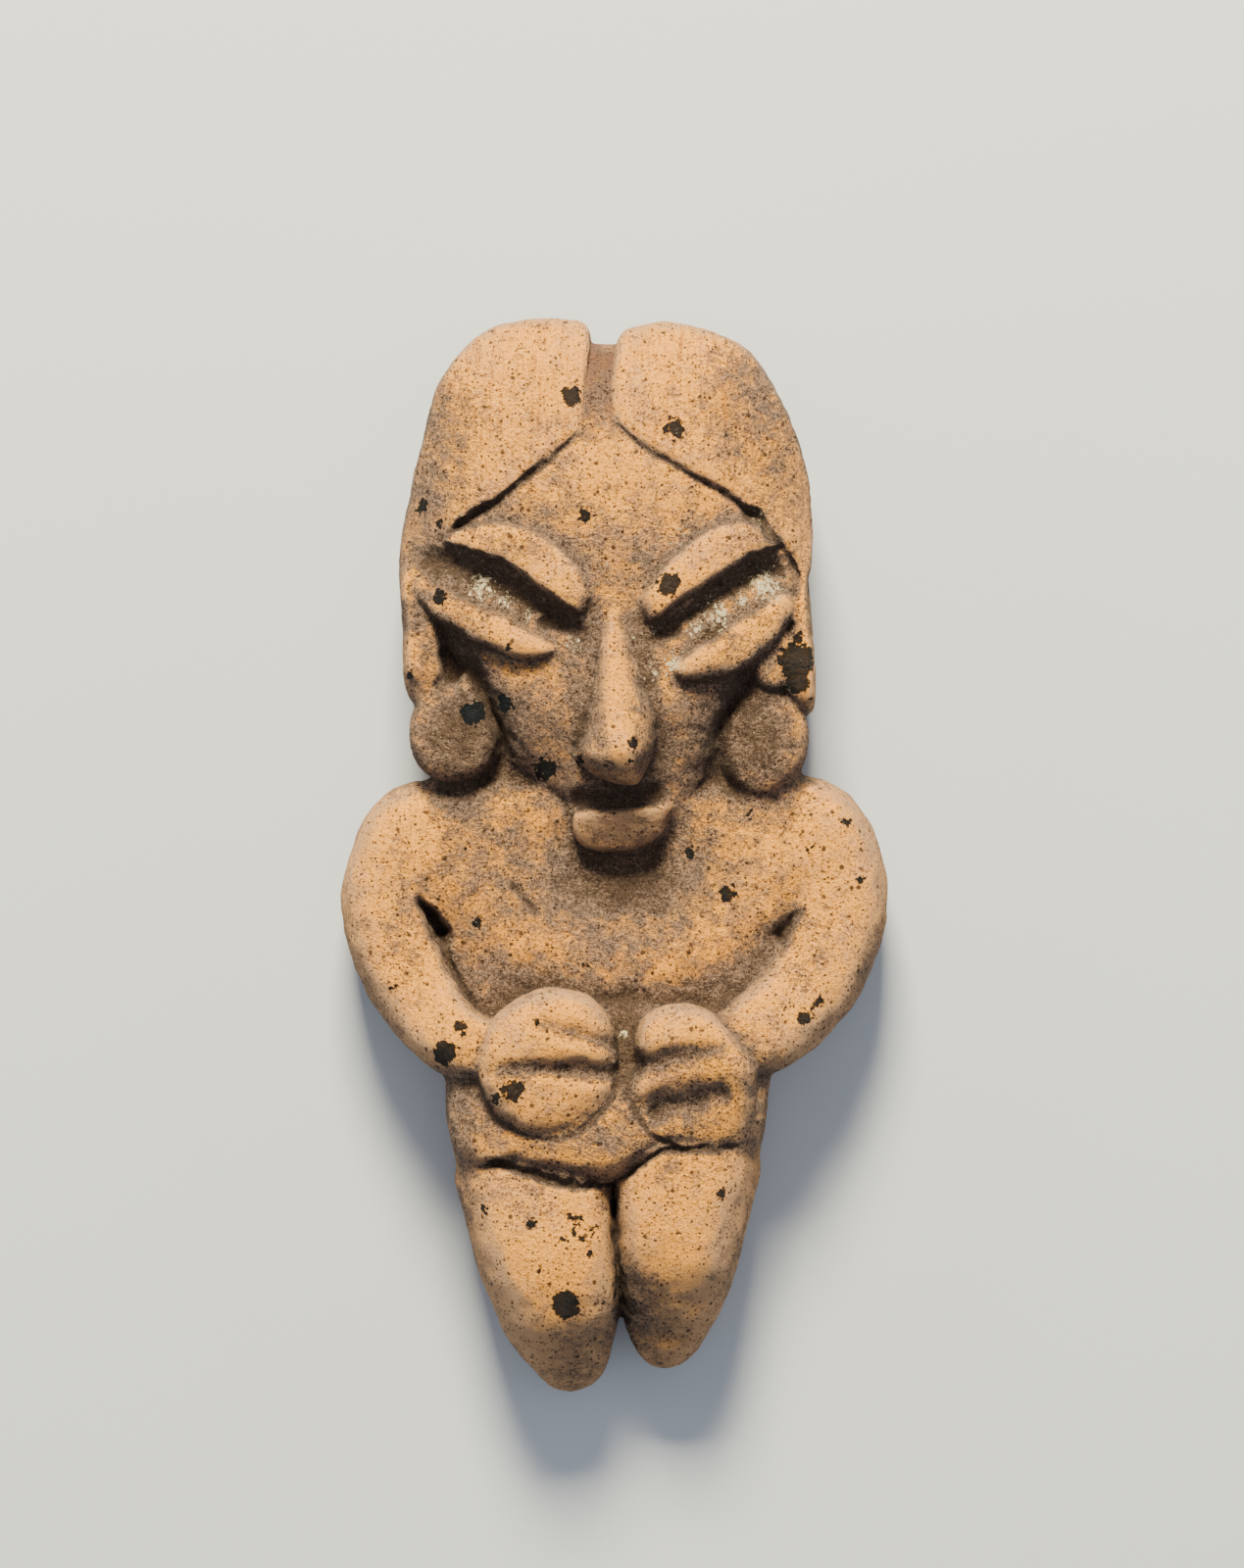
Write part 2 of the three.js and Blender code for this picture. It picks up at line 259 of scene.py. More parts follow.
head = {
    "skull": {
        "outline": [
            (17, 26), (16.6, 33), (14.4, 40.5), (10, 45), (4.7, 46), (-0.8, 45.6), (-6.2, 46.1), (-12, 44.8),
            (-16, 39.5), (-18, 32), (-18.1, 25), (-17.4, 18), (-14.8, 11), (-10.5, 5.5), (0.4, 2), (11, 5.5),
            (14.6, 11), (16.8, 18),
        ],
        "rim": 6.5, "top": 13, "bottom": -0.8, "edge": 0.6,
    },
    "face": {
        "outline": [
            (16.8, 26), (16, 33), (13.8, 40.5), (9.6, 44.6), (4.7, 45.6), (-0.8, 45.4), (-6.2, 45.7),
            (-11.6, 44.4), (-15.4, 39.5), (-17.4, 32), (-17.8, 25), (-15.6, 19.4), (-12.6, 15.6), (-10.4, 12),
            (-9.2, 8.8), (-6.8, 6.4), (-4.6, 4.6), (-3.2, 2.2), (-1.6, 0.6), (1.6, 0.2), (4.6, 1.6), (6.6, 4.6),
            (8.8, 8), (9.9, 11.6), (12, 15.4), (15.4, 19.8),
        ],
        "rim": 8, "top": faceTop, "bottom": 4, "edge": 0.4, "around": 260,
    },
    "hairLeft": {
        "outline": [
            (-2.1, 45.6), (-2.5, 47.2), (-4, 47.6), (-7.4, 47.6), (-11.8, 46.3), (-15.4, 41.6), (-17.2, 35.8),
            (-18.6, 29), (-18.9, 25.4), (-17.8, 25.2), (-16.2, 27.4), (-14.2, 29), (-12.3, 30.3), (-9.7, 31.9),
            (-6, 35.2), (-3.5, 37.2), (-2.7, 38.3), (-2.5, 42.4),
        ],
        "rim": 8.5, "top": hairTop, "bottom": 1.6, "edge": 0.1, "around": 280,
    },
    "hairRight": {
        "outline": [
            (5, 47.5), (2, 47.1), (0.8, 46.4), (0.3, 44.8), (-0.1, 42.4), (-0.1, 39.6), (0.7, 38.1), (3.3, 36.2),
            (7, 34), (9.9, 32.4), (12, 30.8), (14, 28.9), (16, 26.2), (17, 24.4), (17.6, 26.4), (17.5, 32),
            (15.8, 38.6), (12.6, 44.4), (9.4, 46.4),
        ],
        "rim": 8.5, "top": hairTop, "bottom": 1.6, "edge": 0.1, "around": 280,
    },
    "upperLidLeft": {
        "outline": [
            (-2.7, 21.3), (-2, 22.4), (-1.9, 23.7), (-2.6, 25.2), (-4.5, 27.3), (-7.1, 29.2), (-10.2, 29.9),
            (-13.2, 29.4), (-14.9, 28.7), (-14.7, 27.8), (-12.3, 27), (-9.7, 26), (-7.1, 24.2), (-4.5, 22.3),
        ],
        "rim": 13.6, "top": lidTop, "bottom": 8, "edge": 0.42,
    },
    "lowerLidLeft": {
        "outline": [
            (-4.4, 18.3), (-5, 19.3), (-7.1, 20.5), (-9.7, 22.1), (-12.3, 23.1), (-14.9, 24.4), (-16.8, 25.4),
            (-17.7, 24.4), (-16.8, 22.1), (-13.9, 19.9), (-10.7, 18.3), (-8.1, 17.4), (-5.8, 17.5),
        ],
        "rim": 13, "top": lowLidTop, "bottom": 7, "edge": 0.42,
    },
    "upperLidRight": {
        "outline": [
            (14.8, 27.7), (14.5, 28.8), (13.3, 29.6), (11.1, 29.9), (8.6, 29.3), (6, 27.3), (4.1, 25.5),
            (2.8, 23.7), (2.4, 22.1), (3.1, 20.7), (5.4, 22.2), (8, 24), (10.7, 25.6), (12.7, 26.8),
        ],
        "rim": 13.6, "top": lidTop, "bottom": 8, "edge": 0.42,
    },
    "lowerLidRight": {
        "outline": [
            (16, 21.6), (16, 23), (15.1, 23.8), (13.3, 22.9), (11.2, 21.4), (9.1, 19.8), (7, 18.5), (5.1, 17.1),
            (5.1, 16.1), (6, 15.6), (7, 15.5), (9.1, 15.8), (11.2, 16.5), (13.3, 17.8), (14.9, 19.5),
        ],
        "rim": 13, "top": lowLidTop, "bottom": 7, "edge": 0.42,
    },
    "chin": {
        "outline": [
            (4.9, 4.8), (3.4, 4.6), (1.4, 4.4), (-0.8, 4.3), (-2.7, 4.2), (-3.5, 3.8), (-3.6, 2.6), (-3.1, 1.3),
            (-1.9, 0.6), (0.3, 0.4), (2.6, 0.9), (4, 1.9), (4.8, 3.2),
        ],
        "rim": 11, "top": chinTop, "bottom": 6, "edge": 0.22,
    },
    "hollowRight": {"outline": oval(13.9, 18, 2.4, 3.6), "rim": 10, "top": 14.8, "bottom": 6, "edge": 0.5},
    "hollowLeft": {"outline": oval(-12, 14.8, 1.9, 2.3), "rim": 10, "top": 13.9, "bottom": 6, "edge": 0.5},
    "earLeft": {
        "outline": [
            (-16.6, 27), (-18.9, 26), (-18.6, 20), (-18.3, 14.6), (-16.6, 13.6), (-14.9, 15), (-14.9, 17.2),
            (-15.1, 19.4), (-15.6, 22),
        ],
        "rim": 6.5, "top": 14.2, "bottom": 2.6, "edge": 0.45,
    },
    "earRight": {
        "outline": [
            (17, 26), (15.9, 23), (15.6, 19.4), (14.2, 17), (14.6, 15), (15.8, 13.4), (17.3, 12.8), (17.8, 14),
            (17.7, 19),
        ],
        "rim": 6.5, "top": 14.6, "bottom": 2.6, "edge": 0.4,
    },
    "ornamentLeft": {"outline": oval(-14.1, 11.1, 4, 4.5), "rim": 10, "top": 14, "bottom": 3, "edge": 0.45},
    "ornamentRight": {"outline": oval(13.3, 10.6, 4, 5.3), "rim": 10, "top": 13.8, "bottom": 3, "edge": 0.45},
}

nose = {
    "stations": [
        (24.6, -0.9, 0, 1.2, 15.6, 1.3), (22.6, -1.5, -0.1, 1.9, 16.9, 1.3), (20.4, -1.8, -0.2, 2.2, 17.7, 1.2),
        (16.9, -2, -0.1, 3.4, 18.6, 1.1), (13.4, -2.5, 0.1, 4.1, 19.5, 1.05), (11.7, -2.8, 0.4, 4.2, 20, 1.05),
        (9.9, -3.2, 0.7, 3.9, 20.5, 0.95), (9, -3.4, 0.8, 3.5, 20.3, 0.9), (8.2, -2.8, 1, 3.1, 19.8, 0.85),
        (7.5, -1.9, 1.2, 2.7, 19.1, 0.8), (6.9, -0.5, 1.3, 2.3, 18.2, 0.8), (6.6, 0.5, 1.3, 2, 17.4, 0.8),
    ],
    "foot": 12.4,
}

trunk = {
    "chest": {
        "outline": [
            (8, 11.5), (0, 12.5), (-8.4, 11.5), (-15, 7.2), (-19.6, 2.6), (-19, -3.5), (-15.8, -8.6),
            (-14.7, -15), (-14.9, -21), (-13, -27.5), (-6, -29), (0, -29.4), (6, -28), (12.4, -27), (14, -20),
            (14.6, -12), (16.2, -7.4), (19, -3), (19.6, 3), (15, 7.4),
        ],
        "rim": 6.2, "top": chestTop, "bottom": -0.5, "edge": 0.32,
    },
    "belly": {
        "outline": [
            (9.5, -13.5), (0, -12.5), (-9.5, -13.5), (-14, -17), (-14.9, -22), (-13.8, -26.4), (-11.6, -27.4),
            (-9.6, -27.2), (-6.6, -28.2), (-2.6, -28.9), (0, -28.6), (1.2, -27.6), (2.6, -26.6), (5.6, -25.4),
            (12.4, -25.6), (13.8, -21), (13.5, -17),
        ],
        "rim": 8, "top": bellyTop, "bottom": 0.5, "edge": 0.3, "around": 220,
    },
    "handLeft": {
        "outline": [
            (0.2, -15.6), (-1.4, -13), (-3.6, -11.8), (-6.7, -11.7), (-10, -13.6), (-11.7, -16.4), (-12.1, -19.6),
            (-10.4, -23), (-7.2, -24.7), (-3.8, -24.5), (-1, -22.8), (0.5, -20), (0.5, -17.6),
        ],
        "rim": 12.5, "top": handTop, "bottom": 8, "edge": 0.46,
    },
    "handRight": {
        "outline": [
            (9.7, -14.6), (7.6, -13.2), (5, -13), (2.8, -14), (1.9, -16), (1.9, -18), (1.2, -20), (1.6, -22),
            (3.6, -24), (6.4, -25.4), (9.6, -25.8), (12, -24.4), (12.8, -21.6), (12.4, -17.8),
        ],
        "rim": 12.5, "top": handTop, "bottom": 8, "edge": 0.44,
    },
}

limbs = {
    "legLeft": {
        "stations": [
            (-6.9, -24.5, 7, 6.8, 7.2), (-7, -28, 7.2, 6.9, 7.9), (-6.5, -31.8, 7.6, 6.5, 8),
            (-5.8, -35.6, 7.7, 6.1, 8), (-5.2, -38.4, 7.3, 5.7, 7.4), (-4.6, -41, 6.4, 5.1, 5.9),
            (-3.8, -44.2, 5.4, 3.8, 4.2), (-3.1, -47.5, 4.6, 2.4, 2.4),
        ],
        "blunt": 14, "edges": (0.5, 0.8),
    },
    "legRight": {
        "stations": [
            (6.3, -23, 7, 6.3, 8.2), (6.5, -26.6, 7.2, 6.5, 8.5), (6.1, -31, 7.6, 6, 8.1),
            (5.8, -34.4, 7.5, 5.5, 7.7), (5.5, -37.2, 6.9, 5, 6.2), (5, -40.4, 5.8, 4.3, 4.8),
            (4.7, -43, 5.1, 3.3, 3.6), (4.5, -45.6, 4.4, 1.9, 2.2),
        ],
        "blunt": 14, "edges": (0.8, 0.5),
    },
    "armLeft": {
        "stations": [
            (-11, 2.4, 5.4, 3.6, 4.6), (-17.1, 2.5, 6.9, 4.3, 5.7), (-19.9, -1.6, 6.8, 4, 5.9),
            (-20.1, -5.6, 6.9, 3.9, 6), (-18.4, -10.6, 7.6, 3.9, 5.7), (-15.9, -14.2, 9, 3.5, 5.2),
            (-13.2, -16.7, 11.2, 3.2, 4.8), (-8, -18.4, 12, 3, 4.3),
        ],
        "blunt": 10, "edges": (0.45, 0.8),
    },
    "armRight": {
        "stations": [
            (11, 2.4, 5.4, 3.6, 4.6), (17.2, 2.9, 6.9, 4.4, 5.7), (19.8, -1.2, 6.8, 4.2, 5.9),
            (19.9, -5.2, 6.9, 4.2, 6), (18.5, -9.6, 7.6, 4.1, 5.7), (16.1, -12.7, 9, 4.1, 5.2),
            (13.1, -15.6, 11.2, 3.8, 4.8), (8.4, -18.2, 12, 3.3, 4.3),
        ],
        "blunt": 10, "edges": (0.8, 0.45),
    },
}


# One skin over all of it

skin = {
    "spacing": 0.21,      # mm between the points while it is shaped
    "settle": 2,          # passes that take the steps out of it
    "meltPasses": 60,     # passes in the places where the maker smoothed a joint away
    "triangles": 190000,  # how many are kept in the end
}

# Where two pieces were smoothed into one: [x, y, radius]
melts = [
    (-14, 4.5, 5), (14.5, 4.5, 5), (-17, 0.5, 4), (17, 0.5, 4), (-10, 9, 3), (10, 9, 3), (-14.4, -26.5, 3),
    (13.6, -25.5, 3), (-13.8, -17.5, 2), (12.6, -15, 2), (-0.2, 24.4, 3), (0.8, 23, 2), (-17.2, 15, 1.8),
    (14.2, -8.4, 2), (12.4, -10.6, 2.2), (10.4, -12.8, 2), (12, 13.8, 2), (-6.8, 4.4, 2.4), (6.6, 4, 2.4),
]


def meshOf(name, points, faces):
    mesh = bpy.data.meshes.new(name)
    mesh.from_pydata(points.tolist(), [], faces.tolist())
    return mesh


def finished(lump):
    # The object's mesh with its modifiers applied; the object itself goes
    mesh = bpy.data.meshes.new_from_object(lump.evaluated_get(bpy.context.evaluated_depsgraph_get()))
    bpy.data.objects.remove(lump)
    return mesh


def onScene(name, mesh):
    lump = bpy.data.objects.new(name, mesh)
    bpy.context.scene.collection.objects.link(lump)
    return lump


def unite(shapes, spacing):
    # Every shape in one mesh, then a new skin round all of them with points this far apart
    points, faces, first = [], [], 0
    for shapePoints, shapeFaces in shapes:
        points.append(shapePoints)
        faces.append(shapeFaces + first)
        first += len(shapePoints)
    lump = onScene("clayPieces", meshOf("clayPieces", np.vstack(points), np.vstack(faces)))
    remesh = lump.modifiers.new("skin", "REMESH")
    remesh.mode = "VOXEL"
    remesh.voxel_size = spacing
    return finished(lump)


def thinned(mesh, triangles):
    # Collapses the edges that matter least until about this many triangles are left
    lump = onScene("thinned", mesh)
    triangulate = lump.modifiers.new("triangles", "TRIANGULATE")
    triangulate.quad_method = "BEAUTY"
    decimate = lump.modifiers.new("thinner", "DECIMATE")
    decimate.ratio = triangles / sum(len(face.vertices) - 2 for face in mesh.polygons)
    return finished(lump)


def coordinates(mesh):
    points = np.empty(len(mesh.vertices) * 3)
    mesh.vertices.foreach_get("co", points)
    return points.reshape(-1, 3)


def edgeEnds(mesh):
    ends = np.empty(len(mesh.edges) * 2, int)
    mesh.edges.foreach_get("vertices", ends)
    return ends.reshape(-1, 2)


def normalsOf(mesh, points):
    mesh.vertices.foreach_set("co", points.ravel())
    mesh.update()
    normals = np.empty(len(points) * 3)
    mesh.vertex_normals.foreach_get("vector", normals)
    return normals.reshape(-1, 3)


def relaxed(points, ends, weight, passes):
    # Each pass moves a point towards the mean of its neighbours, by its own weight
    moving = np.flatnonzero(weight > 0.01)
    slot = np.full(len(points), -1)
    slot[moving] = np.arange(len(moving))
    both = np.vstack([ends, ends[:, ::-1]])
    both = both[slot[both[:, 0]] >= 0]
    target, source = slot[both[:, 0]], both[:, 1]
    count = np.bincount(target, minlength=len(moving))[:, None]
    share = 0.7 * weight[moving][:, None]
    points = points.copy()
    for _ in range(passes):
        total = np.stack([np.bincount(target, points[source, k], len(moving)) for k in range(3)], axis=1)
        points[moving] += share * (total / count - points[moving])
    return points


def near(points, x, y, radius):
    # 1 in the middle of a round place in plan, and 0 at its radius
    gap = np.hypot(points[:, 0] - x, points[:, 1] - y)
    return ease(radius, radius * 0.4, gap)


# Marks of fingers and tools, pressed into the front: [x, y] along the line, then the half width and
# the depth at its two ends in mm. A power of 2 makes a valley and 4 a trough. Ragged is how far its
# edges wander, and one more number how strongly the line is darkened, out to the reach beyond the
# half width: partly earth lying in it, partly painted shade on its walls.
presses = {
    "eyeLeft": {
        "path": [(-16.8, 26.8), (-13.4, 25.7), (-9.8, 24.1), (-6, 21.7), (-3.2, 20)],
        "half": (0.85, 0.8), "depth": (0.8, 1.3), "power": 3, "ragged": 0.5, "earthAndShadeInLine": 1, "reach": 0.9,
    },
    "eyeRight": {
        "path": [(3.4, 19.2), (6.4, 21.2), (9.6, 23.4), (12.6, 25.4), (15.6, 26)],
        "half": (0.8, 0.8), "depth": (1, 0.8), "power": 3, "ragged": 0.5, "earthAndShadeInLine": 1, "reach": 0.9,
    },
    "mouth": {
        "path": [(-4, 5.2), (0.2, 5), (4.4, 5.8)],
        "half": (0.8, 0.9), "depth": (0.8, 0.9), "power": 3, "earthAndShadeInLine": 0.6,
    },
    "hairCrackLeft": {
        "path": [(-3.1, 37.3), (-6.1, 34.8), (-9.9, 31.8), (-12.5, 30), (-15.4, 28)],
        "half": (0.12, 0.14), "depth": (0.35, 0.5), "power": 2, "ragged": 0.18, "earthAndShadeInLine": 1.1, "reach": 0.1,
    },
    "hairCrackRight": {
        "path": [(0, 38.6), (3.1, 36), (6.9, 33.7), (9.8, 32.1), (11.8, 30.5), (13.4, 29.4)],
        "half": (0.12, 0.14), "depth": (0.35, 0.5), "power": 2, "ragged": 0.18, "earthAndShadeInLine": 1.1, "reach": 0.1,
    },
    "breakLeft": {
        "path": [(-10.2, 31.6), (-11.6, 30.7), (-13, 29.8), (-14.2, 28.8)],
        "half": (0.25, 0.3), "depth": (0.5, 0.7), "power": 2, "ragged": 0.55, "earthAndShadeInLine": 1.3,
    },
    "breakRight": {
        "path": [(10.8, 31.2), (12.3, 30.2), (13.6, 29.2), (15, 27.4)],
        "half": (0.25, 0.35), "depth": (0.5, 0.8), "power": 2, "ragged": 0.55, "earthAndShadeInLine": 1.3,
    },
    "cheekLeft": {
        "path": [(-12.9, 17.4), (-11, 13.6), (-9.9, 10.6), (-10.4, 7.6), (-12.4, 6.2)],
        "half": (0.6, 0.3), "depth": (1.6, 0.6), "power": 2, "earthAndShadeInLine": 0.8,
    },
    "cheekRight": {
        "path": [(11.4, 14.8), (10, 12.8), (9.3, 10.2), (9.7, 7.2), (11.2, 5.2)],
        "half": (0.5, 0.3), "depth": (0.9, 0.6), "power": 2, "earthAndShadeInLine": 0.8,
    },
    "fingerLeftUpper": {
        "path": [(-7.6, -14.4), (-5.2, -14.9), (-3, -15.6), (-0.9, -16.3), (1, -16.5)],
        "half": (0.7, 1.1), "depth": (0.1, 1.4), "power": 2, "earthAndShadeInLine": 0.6,
    },
    "fingerLeftLower": {
        "path": [(-11.2, -18.7), (-8, -18.6), (-4, -18.6), (1, -18.9)],
        "half": (0.7, 1.1), "depth": (0.5, 1.4), "power": 2, "earthAndShadeInLine": 0.5,
    },
    "fingerRightUpper": {
        "path": [(1.2, -18.5), (4, -17.9), (7, -17.2), (10.4, -16.6)],
        "half": (1.1, 0.8), "depth": (1.4, 0.4), "power": 2, "earthAndShadeInLine": 0.6,
    },
    "fingerRightLower": {
        "path": [(2.7, -22), (5.4, -21.8), (7.9, -21.3), (10.6, -20.4)],
        "half": (1.4, 1.1), "depth": (1.05, 0.45), "power": 2, "earthAndShadeInLine": 0.35,
    },
    "handLeftEdge": {
        "path": [(-11.8, -20.9), (-10, -23.4), (-5.6, -24.8), (-2.4, -23.7), (-0.1, -21), (0.3, -18.6)],
        "half": (0.12, 0.14), "depth": (0.25, 0.5), "power": 2, "ragged": 0.15, "earthAndShadeInLine": 0.9, "reach": 0.12,
    },
    "handRightEdge": {
        "path": [(1.2, -20.9), (3, -24), (5, -25.2), (7.7, -25.9), (12.2, -25.1)],
        "half": (0.14, 0.12), "depth": (0.5, 0.3), "power": 2, "ragged": 0.15, "earthAndShadeInLine": 0.9, "reach": 0.12,
    },
    "bellyLip": {
        "path": [(-11.6, -27.2), (-10, -27), (-7.4, -27.9), (-5, -28.5), (-2.4, -29), (0, -28.8)],
        "half": (0.25, 0.3), "depth": (1.2, 1), "power": 2, "ragged": 0.25, "earthAndShadeInLine": 1.1, "reach": 0.15,
    },
    "bellyCrack": {
        "path": [(0, -28.8), (1.2, -27.9), (2.4, -27), (4, -26.1), (6, -25.6), (9, -25.6)],
        "half": (0.25, 0.14), "depth": (1.4, 0.5), "power": 2, "ragged": 0.25, "earthAndShadeInLine": 1, "reach": 0.12,
    },
    "legGap": {
        "path": [(0, -28.8), (0.2, -33), (0.5, -38), (0.9, -42)],
        "half": (0.3, 0.3), "depth": (1, 1.2), "power": 2, "ragged": 0.25, "earthAndShadeInLine": 1.1, "reach": 0.3,
    },
    "armpitLeft": {
        "path": [(-17.3, -3.7), (-16.2, -5.2), (-15.1, -7.1)],
        "half": (0.25, 0.75), "depth": (2.4, 3.6), "power": 3, "earthAndShadeInLine": 1, "reach": 0.2,
    },
    "armLineLeft": {
        "path": [(-15.4, -6.6), (-14.4, -9.6), (-13.2, -12.2), (-11.8, -14)],
        "half": (0.3, 0.3), "depth": (0.6, 0.5), "power": 2, "earthAndShadeInLine": 0.6,
    },
    "armpitRight": {
        "path": [(17.2, -4.3), (15.6, -5.8), (14.2, -7.3)],
        "half": (0.25, 0.55), "depth": (0.3, 1), "power": 2, "ragged": 0.3, "earthAndShadeInLine": 0.8,
    },
    "chestNick": {
        "path": [(-9, -2.4), (-7.8, -3.8), (-6.6, -5)],
        "half": (0.3, 0.3), "depth": (0.4, 0.3), "power": 2, "ragged": 0.3, "earthAndShadeInLine": 0.5,
    },
}


def pressed(points, facing, wander, mark):
    # Pushes the front down along the line: depth x e^-(gap / half width)^power, and less at both ends
    line = smoothPath(mark["path"], 24)
    probe = points[:, :2] + mark.get("ragged", 0.12) * wander
    margin = max(mark["half"]) * 3 + 1
    close = np.flatnonzero(((probe > line.min(0) - margin) & (probe < line.max(0) + margin)).all(1))
    gap, along = nearPath(probe[close], line)
    half = mark["half"][0] + (mark["half"][1] - mark["half"][0]) * along
    depth = mark["depth"][0] + (mark["depth"][1] - mark["depth"][0]) * along
    fade = ease(0, 0.12, along) * ease(1, 0.88, along) * 0.7 + 0.3
    moved = points.copy()
    moved[close, 2] -= depth * fade * np.exp(-(gap / half) ** mark["power"]) * ease(-0.1, 0.3, facing[close])
    # Darkening along the line: earth in it and painted shade on its walls
    earthAndShadeInLine = np.zeros(len(points))
    earthAndShadeInLine[close] = mark["earthAndShadeInLine"] * fade * np.exp(-(gap / (half + mark.get("reach", 0.35))) ** 2)
    return moved, earthAndShadeInLine


def sculpt():
    shapes = [pad(shape) for shape in (*head.values(), *trunk.values())]
    shapes += [roll(shape) for shape in limbs.values()] + [ridge(nose)]
    mesh = unite(shapes, skin["spacing"])
    points, ends = coordinates(mesh), edgeEnds(mesh)
    everywhere = np.ones(len(points))
    points = relaxed(points, ends, everywhere, skin["settle"])
    print("skin of", len(points), "points")

    soft = ease(4.5, 2, points[:, 2])
    for x, y, radius in melts:
        soft = np.maximum(soft, near(points, x, y, radius))
    points = relaxed(points, ends, soft, skin["meltPasses"])

    wander = np.stack([clayNoise(points, 0.9, seed) for seed in (11, 12)], axis=1)
    earthAndShadeInLine = np.zeros(len(points))
    for mark in presses.values():
        facing = normalsOf(mesh, points)[:, 2]
        points, more = pressed(points, facing, wander, mark)
        earthAndShadeInLine = np.maximum(earthAndShadeInLine, more)
    points = relaxed(points, ends, everywhere, 2)
    print("pressed")

    normals = normalsOf(mesh, points)
    uneven = 0.2 * clayNoise(points, 7, 1) + 0.11 * clayNoise(points, 2.6, 2) + 0.08 * clayNoise(points, 1.1, 3)
    points = points + normals * uneven[:, None]

    middle = (points.min(0) + points.max(0)) / 2
    shift = (cadLow + cadHigh) / 2 - middle
    shift[2] = 0
    return mesh, points + shift, ends, earthAndShadeInLine


def hollows(points, ends, normals, passes):
    # How far a point lies below its surroundings: the step to a smoothed copy, along the normal
    flat = relaxed(points, ends, np.ones(len(points)), passes)
    return np.einsum("ij,ij->i", flat - points, normals)


def shelter(points, cell=0.5, blur=2.6):
    # How far the front lies below the land around it: a map of the greatest heights, blurred as
    # e^-(distance / blur)^2, less the height of the point
    low = points[:, :2].min(0)
    place = ((points[:, :2] - low) / cell).astype(int)
    size = place.max(0) + 1
    heights = np.zeros(size)
    np.maximum.at(heights, tuple(place.T), points[:, 2])
    for axis in (0, 1):
        at = np.arange(size[axis]) * cell
        kernel = np.exp(-((at[:, None] - at[None]) / blur) ** 2)
        kernel /= kernel.sum(1)[:, None]
        heights = kernel @ heights if axis == 0 else heights @ kernel.T
    return heights[tuple(place.T)] - points[:, 2]


def addSign(mesh, name, values):
    attribute = mesh.attributes.new(name, "FLOAT", "POINT")
    attribute.data.foreach_set("value", values.astype(np.float32))


# Dark mineral spots: [x, y, radius] in mm
spots = [
    (-3.8, 40.6, 0.95), (5.3, 37.8, 1), (-17.1, 31.1, 0.7), (-15.6, 29.5, 0.5), (-2.5, 30.1, 0.8),
    (4.8, 24, 1.1), (-15.4, 22.8, 0.7), (-9.3, 18.4, 0.45), (-12.5, 12.7, 1.1), (-6.1, 7.7, 1.1),
    (-3, 8.6, 0.45), (1.6, 10.1, 0.5), (1.5, 8.7, 0.45), (16.1, 17.4, 1.7), (16.2, 15.4, 1.2), (16.2, 19.5, 0.4),
    (-18.2, 16, 0.4), (-9.6, 13.6, 0.9), (-13, 0.5, 0.4), (-12, -5.7, 0.6), (-2.5, -9.6, 0.45),
    (-19.4, -11.5, 0.4), (-13.6, -15.1, 0.75), (-14.9, -17.4, 1.15), (-6.9, -14.4, 0.45), (-8.9, -20.6, 1.05),
    (-10.4, -21.4, 0.6), (10.1, -3.3, 0.85), (6.7, 0.3, 0.65), (12, 3.7, 0.45), (17.3, 0.7, 0.5),
    (20.7, 3, 0.5), (21.8, -2.1, 0.4), (16.8, -14.1, 0.9), (18.1, -12.8, 0.5), (9.4, -29.7, 0.55),
    (-4.3, -39.6, 1.4), (-11.5, -31.2, 0.5), (-7.3, -32.3, 0.45), (-3.8, -31.8, 0.4), (-3, -32, 0.45),
    (-3.5, -33.1, 0.45), (-2.7, -33.8, 0.5), (-1.9, -32.9, 0.4), (-2.4, -34.6, 0.35), (-4.5, -33.7, 0.35),
    (-2, -35.3, 0.4), (-6.6, -36.8, 0.3),
]

